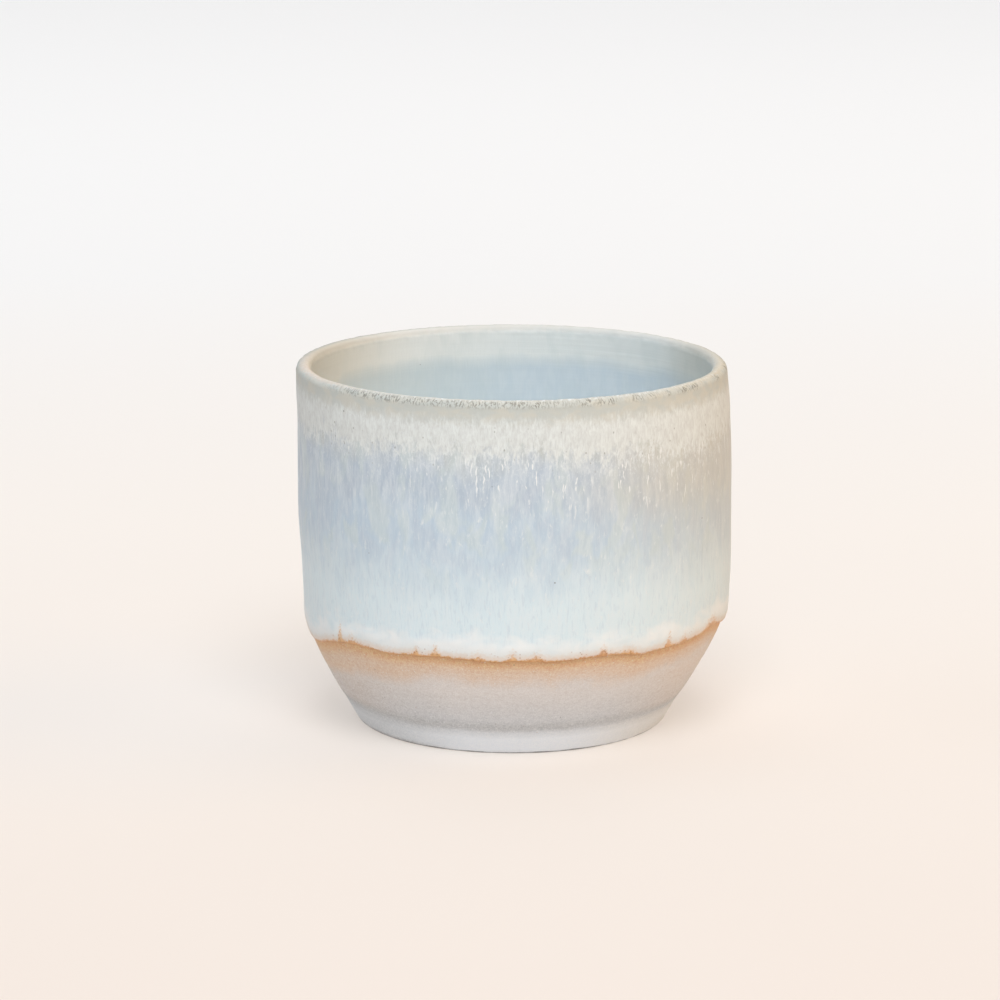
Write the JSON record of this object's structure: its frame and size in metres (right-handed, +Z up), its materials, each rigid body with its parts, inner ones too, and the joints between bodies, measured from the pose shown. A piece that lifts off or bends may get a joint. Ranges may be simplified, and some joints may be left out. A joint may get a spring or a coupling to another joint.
{
  "type": "cortado cup",
  "caption": "Small handleless stoneware cup with a straight wall, a tapered bare-clay base and a runny pale blue glaze over its upper part.",
  "frame": {"origin": "centre of the foot, on the plane that the cup stands on", "axes": "+Z up along the axis of the cup, -Y towards the viewer of the picture, +X to the viewer's right"},
  "size_m": [0.0768, 0.0768, 0.0641],
  "materials": {
    "stoneware": "bare matte stoneware",
    "outer_glaze": "satin pale blue",
    "liner_glaze": "satin blue-green",
    "rim_glaze": "satin cream"
  },
  "bodies": {
    "root": {"clay_body": "stoneware", "outer_glaze": "outer_glaze", "liner_glaze": "liner_glaze", "rim_glaze": "rim_glaze"}
  },
  "joints": []
}
